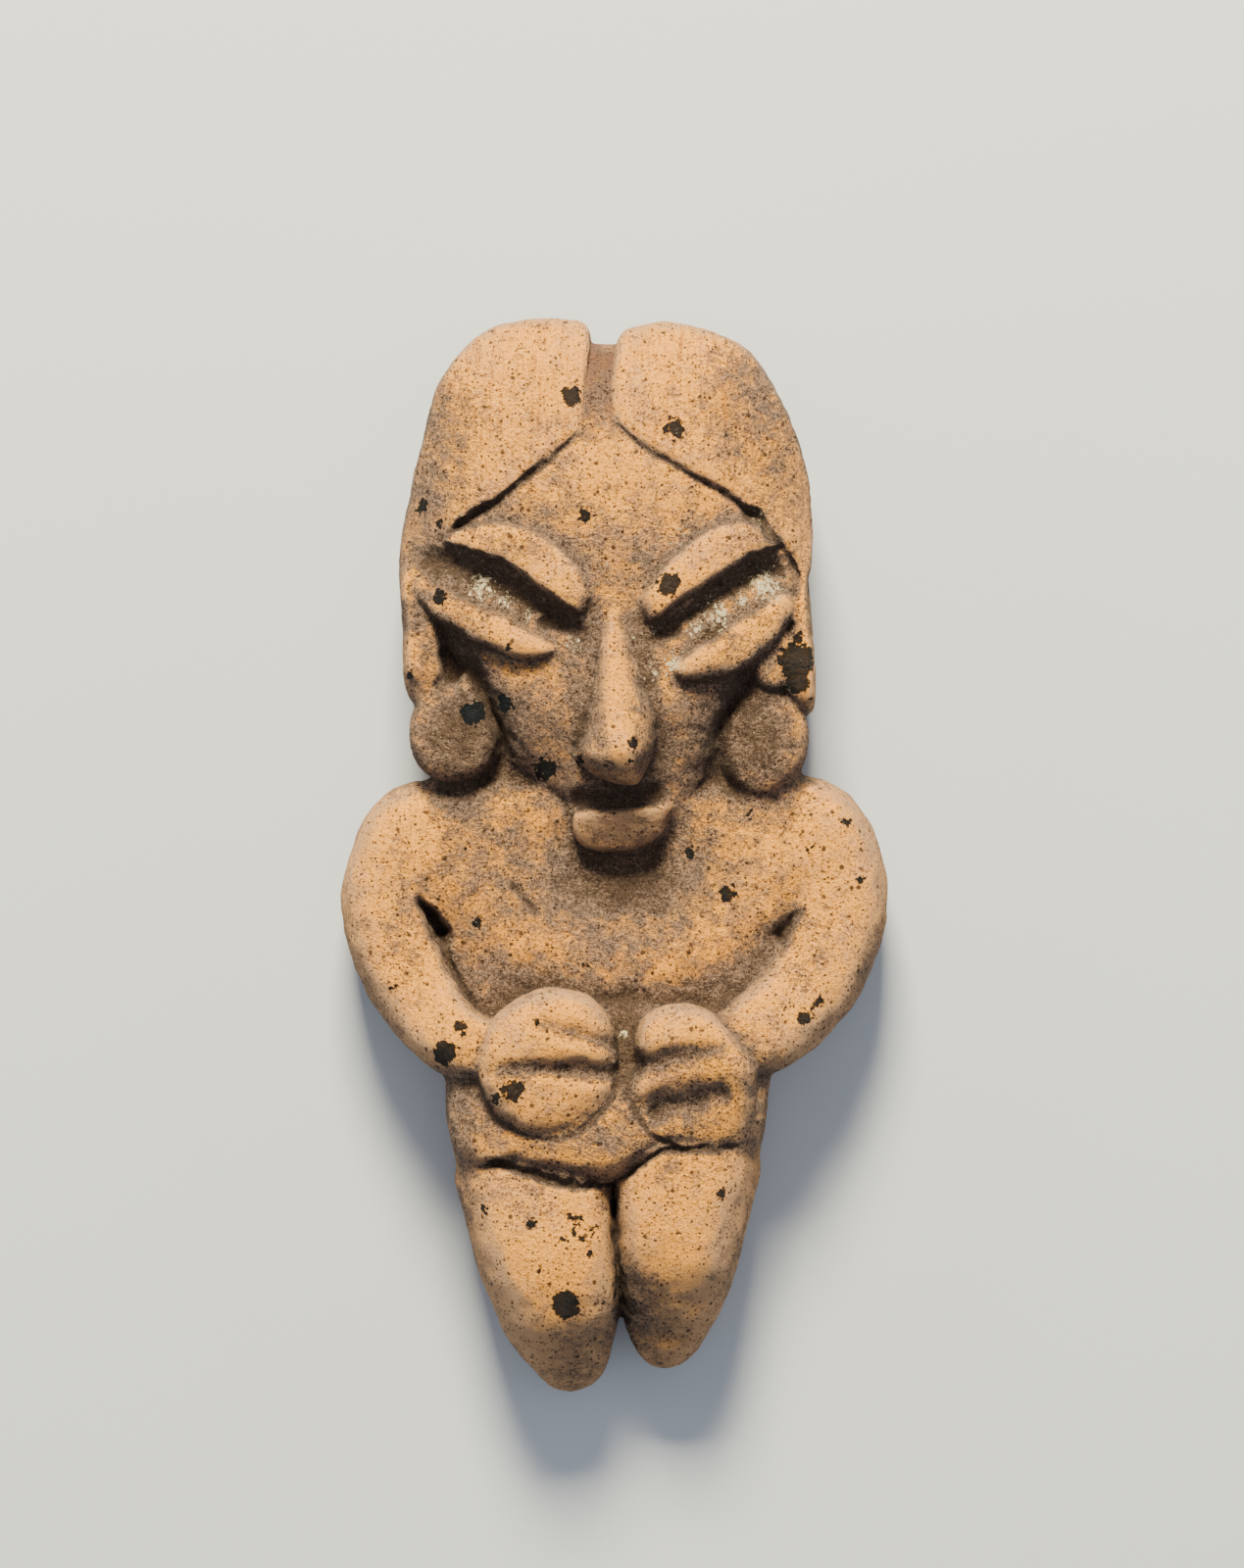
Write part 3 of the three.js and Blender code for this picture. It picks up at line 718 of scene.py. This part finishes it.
# Earth that stayed on the rough places, and some patches of painted shade: [x, y, half width, half height,
# strength]
earthAndShadePatches = [
    (-6.4, 11.5, 4, 5, 0.6), (7, 11, 4, 5, 0.7), (-14, 10.6, 5, 4.6, 1.8), (13.3, 9.6, 5, 5, 1.5),
    # Second patch on the line below: the chin's painted shadow on the neck
    (0.8, 5.6, 5, 1.6, 0.5), (0.5, -2.4, 7, 3.4, 1.2), (-1.3, 42, 1.3, 5, 0.5), (-12.5, 3.6, 5, 4, 0.5),
    (8, 1, 4, 3, 0.35), (-10, -3, 5, 5, 0.45), (0, -9.6, 9, 2.6, 0.4), (5, -5.5, 7, 4, 0.3),
    (0.9, -16.5, 1, 4.5, 1.8), (-13.5, -22, 3, 5, 1), (12.8, -21, 3, 5, 0.5), (-4, -44, 6, 4, 0.2),
    (5, -42, 6, 4.5, 0.35), (1.8, -39.5, 1.6, 3.4, 0.7), (-17.5, 22, 3, 6, 0.5), (17, 21, 3, 6, 0.5),
    (-16.5, 33, 3.4, 8, 0.95), (15.5, 36, 4, 7, 0.7), (12, 41, 4, 5, 0.75), (-12, 21, 5, 2.4, 0.45), (0.4, 26, 3, 4, 0.35),
    (-8, 30.6, 4, 1.2, 0.4), (7.5, 29.8, 4, 1.2, 0.3), (0, -25.4, 9, 2.4, 0.9), (10, 18.4, 5, 2.4, 0.55),
    # Last patch on the line below: painted shade beside the left ear
    (-12.5, -30.5, 2, 4, 0.35), (3.4, 25, 1.6, 3, 0.35), (-4, 30, 5, 2.5, 0.25), (-14.4, 18.4, 2.4, 3, 0.7),
    # First patch on the line below: painted shade under the right lower lid
    (12.4, 15.4, 3, 2, 0.6), (7, -20, 5, 6, 0.35), (-9, 27.8, 5, 2, 0.3), (-18, -7, 3, 6, 0.45),
    (18, -9, 4, 4, 0.2), (2.8, 17.6, 1.2, 3.4, 0.55), (1.2, 8.6, 2.4, 1.4, 0.4), (0.6, 2.4, 4, 2, 0.3),
    # Second patch on the line below: painted shade in the crease under the belly lip
    (-15, 40.5, 3, 4, 0.45), (-4, -28.4, 3, 0.9, 0.9), (-8.5, 27.6, 4, 1.6, 0.35), (-3.2, 24, 1.2, 1.6, 0.5), (12.8, 28, 1.6, 1.2, 0.6),
    (9.4, 19.6, 2, 0.9, 0.5), (12.8, 21.4, 1.6, 0.9, 0.6),
]

# White lime crust in the eyes: [x, y, radius, strength]
lime = [
    (-11.6, 23.8, 1.3, 1.1), (-9.8, 22.7, 1, 1), (-7.6, 21.3, 0.7, 0.8), (-3.4, 18.8, 0.8, 0.8),
    (-2.2, 23.8, 0.7, 0.6), (9.2, 21.4, 1.5, 1), (13.4, 23.8, 1.6, 1.3), (11.4, 22.6, 0.9, 1), (7.4, 20, 1.1, 1.1),
    (5.2, 17, 1, 1.2), (3.2, 20.2, 0.6, 0.8), (3.4, 16, 0.8, 0.8), (5.4, 28, 0.9, 0.6), (1.6, 19.4, 0.6, 0.5),
    (0.9, -15.6, 0.4, 1.6), (12.8, 30, 0.9, 0.6), (-10.2, -26.4, 0.4, 0.6),
]


def markSurface(mesh, points, ends, earthAndShadeInLine):
    normals = normalsOf(mesh, points)
    # Hollows are darkened, partly for earth lying in them and partly as painted shade; places sunk below the land
    # around them get painted shade alone
    fine = hollows(points, ends, normals, 8)
    broad = hollows(points, ends, normals, 90)
    x, y, z = points.T
    front = ease(3, 7, z)
    shelterShade = np.clip(shelter(points), -0.6, 2.5) * ease(0.2, 0.8, normals[:, 2])
    earthAndShade = 3 * fine + 0.6 * broad + earthAndShadeInLine + 0.32 * shelterShade * front
    # Painted shade: the steep walls under the lids and the slopes that look down, away from the key light, get
    # earth colour, and a grey is laid on those slopes, on all steep sides and on the chin in the nose's shadow
    steep = ease(0.97, 0.6, normals[:, 2])
    earthAndShade += steep * ease(0, -0.35, normals[:, 1]) * (0.15 + 0.6 * ease(13, 15, y) * ease(12.5, 14, z))
    paintedShade = ease(0.99, 0.72, normals[:, 2]) * ease(0.35, -0.35, normals[:, 1])
    paintedShade = np.maximum(paintedShade, 0.8 * ease(0.85, 0.45, normals[:, 2]))
    paintedShade = np.maximum(paintedShade, np.exp(-((x - 0.7) / 4.4) ** 4 - ((y - 2.6) / 2.2) ** 4))
    for placeX, placeY, halfX, halfY, strength in earthAndShadePatches:
        earthAndShade += strength * np.exp(-((x - placeX) / halfX) ** 2 - ((y - placeY) / halfY) ** 2) * front
    # Below the breast the earth was never wiped off, down to the hands and out to the arms
    below = ease(0.85, 1.15, chestLobe(x, y)) * ease(-3.5, -6, y) * ease(-16.5, -12, y)
    earthAndShade += 0.25 * below * ease(13, 12.2, z)
    # The nose was rubbed clean along its crest alone
    rows = np.array(nose["stations"])[::-1]
    aside = x - np.interp(y, rows[:, 0], rows[:, 2])
    flanks = np.where(aside < 0, 0.5 * ease(-0.7, -1.3, aside), 0.38 * ease(0.5, 1.3, aside))
    earthAndShade += flanks * ease(6, 8, y) * ease(24, 21, y) * ease(4.6, 3.6, np.abs(aside))
    earthAndShade = np.minimum(earthAndShade, 1.5)
    spotReach = np.full(len(points), -3.0)
    for placeX, placeY, radius in spots:
        gap = np.hypot(x - placeX, y - placeY)
        spotReach = np.maximum(spotReach, np.where(front > 0.5, radius - gap, -3))
    crust = np.zeros(len(points))
    for placeX, placeY, radius, strength in lime:
        gap = np.hypot(x - placeX, y - placeY) / radius
        crust = np.maximum(crust, strength * np.exp(-gap ** 2) * front)
    part = ease(1.5, 0.9, np.abs(x + 1.2)) * ease(36.5, 39.5, y) * ease(0.02, 0.2, broad)
    hair = ease(0, 1.5, y - (38.2 - 0.78 * np.abs(x + 0.9))) * (1 - part)
    signs = {"earthAndShade": earthAndShade, "paintedShade": paintedShade, "spotReach": spotReach, "crust": crust, "part": part, "hair": hair}
    for name, values in signs.items():
        addSign(mesh, name, values)
    # The earth itself is lumpy
    return points + normals * (0.12 * ease(0.4, 1.2, earthAndShade) * clayNoise(points, 0.75, 4))[:, None]


# The finish: buff clay, earth, painted shade, spots and lime

def place(tree, kind, **settings):
    node = tree.nodes.new(kind)
    for name, value in settings.items():
        if name.startswith("in_"):
            node.inputs[int(name[3:])].default_value = value
        else:
            setattr(node, name, value)
    return node


def arithmetic(tree, operation, a, b=None, c=None, clamp=False):
    node = place(tree, "ShaderNodeMath", operation=operation, use_clamp=clamp)
    for socket, value in zip(node.inputs, (a, b, c)):
        if value is None:
            continue
        if isinstance(value, (int, float)):
            socket.default_value = value
        else:
            tree.links.new(value, socket)
    return node.outputs[0]


def step(tree, value, low, high):
    # 0 below low and 1 above high, eased between them
    node = place(tree, "ShaderNodeMapRange", interpolation_type="SMOOTHSTEP", in_1=low, in_2=high)
    tree.links.new(value, node.inputs[0])
    return node.outputs[0]


def blend(tree, amount, under, over, mode="MIX"):
    node = place(tree, "ShaderNodeMix", data_type="RGBA", blend_type=mode)
    for socket, value in ((node.inputs[0], amount), (node.inputs[6], under), (node.inputs[7], over)):
        if isinstance(value, bpy.types.NodeSocket):
            tree.links.new(value, socket)
        elif isinstance(value, (int, float)):
            socket.default_value = value
        else:
            socket.default_value = (*value, 1)
    return node.outputs[2]


def noiseAt(tree, vector, scale, detail=4, rough=0.55):
    node = place(tree, "ShaderNodeTexNoise", in_2=scale, in_3=detail, in_4=rough)
    tree.links.new(vector, node.inputs["Vector"])
    return node.outputs[0]


def cellsAt(tree, vector, scale):
    # Distance to the nearest of scattered points, and random numbers for that point
    node = place(tree, "ShaderNodeTexVoronoi")
    node.inputs["Scale"].default_value = scale
    tree.links.new(vector, node.inputs["Vector"])
    return node.outputs["Distance"], node.outputs["Color"]


def stretched(tree, vector, lengths, turn=0):
    # One unit of the pattern is this long, in mm, along each axis, turned about Z
    node = place(tree, "ShaderNodeMapping", vector_type="TEXTURE")
    node.inputs["Rotation"].default_value = (0, 0, turn)
    node.inputs["Scale"].default_value = lengths
    tree.links.new(vector, node.inputs["Vector"])
    return node.outputs[0]


def holes(tree, vector, perMillimetre, radius, share):
    # Round holes of unlike sizes at scattered points, of which only this share is there
    gap, colour = cellsAt(tree, vector, perMillimetre)
    chance = place(tree, "ShaderNodeSeparateColor")
    tree.links.new(colour, chance.inputs[0])
    size = arithmetic(tree, "MULTIPLY", arithmetic(tree, "ADD", chance.outputs[1], 0.4), radius * perMillimetre)
    inside = step(tree, arithmetic(tree, "SUBTRACT", size, gap), -0.08, 0.05)
    return arithmetic(tree, "MULTIPLY", inside, arithmetic(tree, "LESS_THAN", chance.outputs[0], share))


def clayGroup():
    # Fired clay at its own scale: sand grains, pits and the broad cloudiness of the firing
    tree = bpy.data.node_groups.new("handWorkedClay", "ShaderNodeTree")
    face = tree.interface
    face.new_socket("Millimetres", in_out="INPUT", socket_type="NodeSocketVector")
    for name in ("Cloud", "Mottle", "Grain", "Sand", "Pits"):
        face.new_socket(name, in_out="OUTPUT", socket_type="NodeSocketFloat")
    start = place(tree, "NodeGroupInput")
    end = place(tree, "NodeGroupOutput")
    vector = start.outputs["Millimetres"]
    warp = place(tree, "ShaderNodeVectorMath", operation="MULTIPLY_ADD")
    wobble = place(tree, "ShaderNodeTexNoise", in_2=3.5, in_3=2)
    tree.links.new(vector, wobble.inputs["Vector"])
    tree.links.new(wobble.outputs["Color"], warp.inputs[0])
    warp.inputs[1].default_value = (0.22, 0.22, 0.22)
    tree.links.new(vector, warp.inputs[2])
    small = holes(tree, warp.outputs[0], 2.9, 0.085, 0.55)
    large = holes(tree, warp.outputs[0], 1.2, 0.15, 0.45)
    outputs = {
        "Cloud": noiseAt(tree, vector, 0.16, 3),
        "Mottle": noiseAt(tree, vector, 0.75, 7, 0.66),
        "Grain": noiseAt(tree, vector, 2.8, 5, 0.72),
        "Sand": noiseAt(tree, vector, 7, 3, 0.65),
        "Pits": arithmetic(tree, "MAXIMUM", small, large),
    }
    for name, socket in outputs.items():
        tree.links.new(socket, end.inputs[name])
    return tree


clayLook = {
    "pale": (0.92, 0.383, 0.056),        # worn high places
    "deep": (0.68, 0.33, 0.14),        # the clay's own buff
    # Painted shade: the grey laid over slopes turned from the light
    "paintedShadeGrey": (0.46, 0.285, 0.18),
    # Earth colours, which also paint the shade on shaded walls and corners and the chin's shadow on the neck
    "paleEarthAndShade": (0.27, 0.184, 0.149),
    "darkEarthAndShade": (0.074, 0.052, 0.043),
    "partRed": (0.33, 0.155, 0.1),
    "pit": (0.045, 0.026, 0.02),
    "spot": (0.004, 0.007, 0.01),
    "spotMiddle": (0.009, 0.014, 0.02),
    "lime": (1, 0.82, 0.54),
}


def clayMaterial():
    material = bpy.data.materials.new("buffEarthenware")
    material.use_nodes = True
    tree = material.node_tree
    tree.nodes.clear()
    shader = place(tree, "ShaderNodeBsdfPrincipled")
    output = place(tree, "ShaderNodeOutputMaterial")
    tree.links.new(shader.outputs[0], output.inputs[0])
    shader.inputs["Specular IOR Level"].default_value = 0.12
    where = place(tree, "ShaderNodeTexCoord")
    scale = place(tree, "ShaderNodeVectorMath", operation="SCALE")
    scale.inputs["Scale"].default_value = 1000
    tree.links.new(where.outputs["Object"], scale.inputs[0])
    millimetres = scale.outputs[0]
    clay = place(tree, "ShaderNodeGroup", node_tree=clayGroup())
    tree.links.new(millimetres, clay.inputs["Millimetres"])
    cloud, mottle, grain, sand, pits = clay.outputs
    signs = {}
    for name in ("earthAndShade", "paintedShade", "spotReach", "crust", "part", "hair"):
        signs[name] = place(tree, "ShaderNodeAttribute", attribute_name=name).outputs["Fac"]

    def centred(value, gain, base):
        # base + gain x (value - 0.5)
        return arithmetic(tree, "MULTIPLY_ADD", arithmetic(tree, "SUBTRACT", value, 0.5), gain, base)

    # Buff clay, cloudy and mottled, with paler and darker grains of sand
    shade = centred(mottle, 2.4, centred(cloud, 1.8, 0.36))
    colour = blend(tree, step(tree, shade, 0.1, 0.95), clayLook["pale"], clayLook["deep"])
    grains = centred(sand, 2, centred(grain, 2, 0.5))
    colour = blend(tree, step(tree, grains, 0.46, 0.1), colour, (1.16, 1.16, 1.2), "MULTIPLY")
    colour = blend(tree, step(tree, grains, 0.5, 1), colour, (0.34, 0.3, 0.3), "MULTIPLY")

    # Painted shade: grey over the slopes turned from the light, the steep sides and the chin under the nose
    colour = blend(tree, arithmetic(tree, "MULTIPLY", signs["paintedShade"], 0.9), colour, clayLook["paintedShadeGrey"])

    # Strokes where the maker wiped the hair and the brow downwards
    strokes = noiseAt(tree, stretched(tree, millimetres, (0.31, 7, 1.7)), 1, 4, 0.6)
    wiped = noiseAt(tree, stretched(tree, millimetres, (4, 0.36, 1.6), -0.5), 1, 4, 0.6)
    onHair = arithmetic(tree, "MULTIPLY", signs["hair"], step(tree, strokes, 0.5, 0.7))
    colour = blend(tree, onHair, colour, (0.7, 0.64, 0.62), "MULTIPLY")

    # Earth in the hollows and painted shade on shaded walls, corners and under the chin, and a thin film of earth
    # in the clouds of the open surface
    earthAndShadeLevel = centred(mottle, 1.7, centred(cloud, 1.1, signs["earthAndShade"]))
    earthAndShadeLevel = centred(wiped, 0.7, centred(grain, 1.6, centred(sand, 1.3, earthAndShadeLevel)))
    earthAndShadeColour = blend(tree, step(tree, earthAndShadeLevel, 0.35, 1.45), clayLook["paleEarthAndShade"], clayLook["darkEarthAndShade"])
    crumbs = blend(tree, step(tree, grains, 0.1, 0.9), (1.45, 1.45, 1.42), (0.58, 0.56, 0.55))
    earthAndShadeColour = blend(tree, 1, earthAndShadeColour, crumbs, "MULTIPLY")
    earthAndShadeFilm = arithmetic(tree, "MULTIPLY", step(tree, earthAndShadeLevel, 0, 0.85), 0.96)
    colour = blend(tree, earthAndShadeFilm, colour, earthAndShadeColour)
    reddened = arithmetic(tree, "MULTIPLY", signs["part"], step(tree, earthAndShadeLevel, 1.3, 0.2))
    colour = blend(tree, reddened, colour, clayLook["partRed"])
    colour = blend(tree, arithmetic(tree, "MULTIPLY", pits, 0.9), colour, clayLook["pit"])

    # Mineral spots that grew as rosettes of round lobes
    petals = cellsAt(tree, millimetres, 1.6)[0]
    reach = arithmetic(tree, "MULTIPLY_ADD", petals, -0.55, arithmetic(tree, "ADD", signs["spotReach"], 0.2))
    reach = centred(mottle, 1.2, centred(grain, 1.3, reach))
    spotMask = arithmetic(tree, "MULTIPLY", step(tree, reach, -0.03, 0.05), 0.97)
    dark = blend(tree, step(tree, centred(sand, 1.5, reach), 0.2, 0.9), clayLook["spot"], clayLook["spotMiddle"])
    colour = blend(tree, spotMask, colour, dark)

    # Lime crust in flakes
    flake = noiseAt(tree, millimetres, 2.4, 7, 0.8)
    crustMask = step(tree, arithmetic(tree, "MULTIPLY_ADD", flake, 7, signs["crust"]), 4.48, 4.62)
    colour = blend(tree, crustMask, colour, clayLook["lime"])
    tree.links.new(colour, shader.inputs["Base Color"])

    # The hair was rubbed smoother than the rest, and earth is dull
    rough = arithmetic(tree, "MULTIPLY_ADD", signs["hair"], -0.14, 0.84)
    tree.links.new(arithmetic(tree, "MULTIPLY_ADD", earthAndShadeFilm, 0.1, rough), shader.inputs["Roughness"])

    # Relief finer than the mesh: grains, pits, rough earth, the strokes along the hair and the
    # slanting ones on the rest
    sandy = arithmetic(tree, "MULTIPLY_ADD", earthAndShadeFilm, 0.4, 0.6)
    height = arithmetic(tree, "MULTIPLY", grain, sandy)
    height = arithmetic(tree, "MULTIPLY_ADD", sand, 0.32, height)
    lumps = arithmetic(tree, "MULTIPLY", mottle, arithmetic(tree, "MULTIPLY_ADD", earthAndShadeFilm, 0.3, 0.2))
    height = arithmetic(tree, "ADD", lumps, height)
    height = arithmetic(tree, "MULTIPLY_ADD", pits, -0.09, height)
    height = arithmetic(tree, "MULTIPLY_ADD", arithmetic(tree, "MULTIPLY", strokes, signs["hair"]), 0.12, height)
    bare = arithmetic(tree, "SUBTRACT", 1, signs["hair"])
    height = arithmetic(tree, "MULTIPLY_ADD", arithmetic(tree, "MULTIPLY", wiped, bare), 0.16, height)
    height = arithmetic(tree, "MULTIPLY_ADD", crustMask, 0.05, height)
    height = arithmetic(tree, "MULTIPLY_ADD", spotMask, 0.03, height)
    bump = place(tree, "ShaderNodeBump")
    bump.inputs["Strength"].default_value = 1
    bump.inputs["Distance"].default_value = mm
    tree.links.new(height, bump.inputs["Height"])
    tree.links.new(bump.outputs[0], shader.inputs["Normal"])
    return material


def buildFigurine():
    mesh, points, ends, earthAndShadeInLine = sculpt()
    points = markSurface(mesh, points, ends, earthAndShadeInLine)
    points[:, 2] = np.maximum(points[:, 2], 0)
    mesh.vertices.foreach_set("co", (points * mm).ravel())
    mesh = thinned(mesh, skin["triangles"])
    mesh.name = "figurine"
    mesh.shade_smooth()
    mesh.materials.clear()
    mesh.materials.append(clayMaterial())
    figurine = onScene("figurine", mesh)
    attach(figurine, "root")
    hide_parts(cadNode)
    print("figurine of", len(mesh.polygons), "triangles")
    return figurine


# Camera, floor and light

view = {
    "frame": (1269, 1600),       # pixels of the picture
    "perPixel": 95 / 1092,       # mm of the figure in one pixel
    "centre": (626.5, 874),      # pixel where the frame's origin falls
    "distance": 1000,            # mm from the figure's middle depth
    "depth": 10,
}


def addCamera():
    width, height = view["frame"]
    x = (width / 2 - view["centre"][0]) * view["perPixel"]
    y = (view["centre"][1] - height / 2) * view["perPixel"]
    camera = bpy.data.cameras.new("camera")
    camera.sensor_fit = "VERTICAL"
    camera.sensor_height = 36
    camera.lens = camera.sensor_height * view["distance"] / (height * view["perPixel"])
    camera.clip_start, camera.clip_end = 0.01, 20
    stand = bpy.data.objects.new("camera", camera)
    stand.location = (x * mm, y * mm, (view["distance"] + view["depth"]) * mm)
    bpy.context.scene.collection.objects.link(stand)
    bpy.context.scene.camera = stand


lights = {
    # name: (direction it comes from, distance in m, size in m, power in W, colour)
    "key": ((-0.06, 0.77, 0.66), 0.7, 0.2, 23.6, (1, 0.91, 0.62)),
    "front": ((0.15, -0.1, 1), 0.9, 0.6, 1.2, (0.9, 0.96, 1)),
    "left": ((-1, 0.25, 0.35), 0.7, 0.35, 1, (0.9, 0.96, 1)),
    "right": ((1, 0.25, 0.35), 0.7, 0.35, 1, (0.9, 0.96, 1)),
}
surroundings = {"colour": (0.9, 0.96, 1, 1), "strength": 0.47}


def addLights():
    for name, (direction, distance, size, power, colour) in lights.items():
        lamp = bpy.data.lights.new(name, "AREA")
        lamp.size, lamp.energy, lamp.color = size, power, colour
        holder = bpy.data.objects.new(name, lamp)
        away = np.array(direction) / np.linalg.norm(direction)
        holder.location = away * distance
        holder.rotation_euler = Vector(away).to_track_quat("Z", "Y").to_euler()
        bpy.context.scene.collection.objects.link(holder)
    world = bpy.data.worlds.new("studio")
    world.use_nodes = True
    background = world.node_tree.nodes["Background"]
    background.inputs["Color"].default_value = surroundings["colour"]
    background.inputs["Strength"].default_value = surroundings["strength"]
    bpy.context.scene.world = world


def addFloor():
    half = 3.0
    mesh = bpy.data.meshes.new("floor")
    mesh.from_pydata([(-half, -half, 0), (half, -half, 0), (half, half, 0), (-half, half, 0)], [], [(0, 1, 2, 3)])
    material = bpy.data.materials.new("paleFloor")
    material.use_nodes = True
    shader = material.node_tree.nodes["Principled BSDF"]
    shader.inputs["Base Color"].default_value = (0.43, 0.455, 0.52, 1)
    shader.inputs["Roughness"].default_value = 0.9
    mesh.materials.append(material)
    floor = bpy.data.objects.new("floor", mesh)
    bpy.context.scene.collection.objects.link(floor)


addCamera()
addFloor()
addLights()
print("camera, floor and lights in place")
buildFigurine()
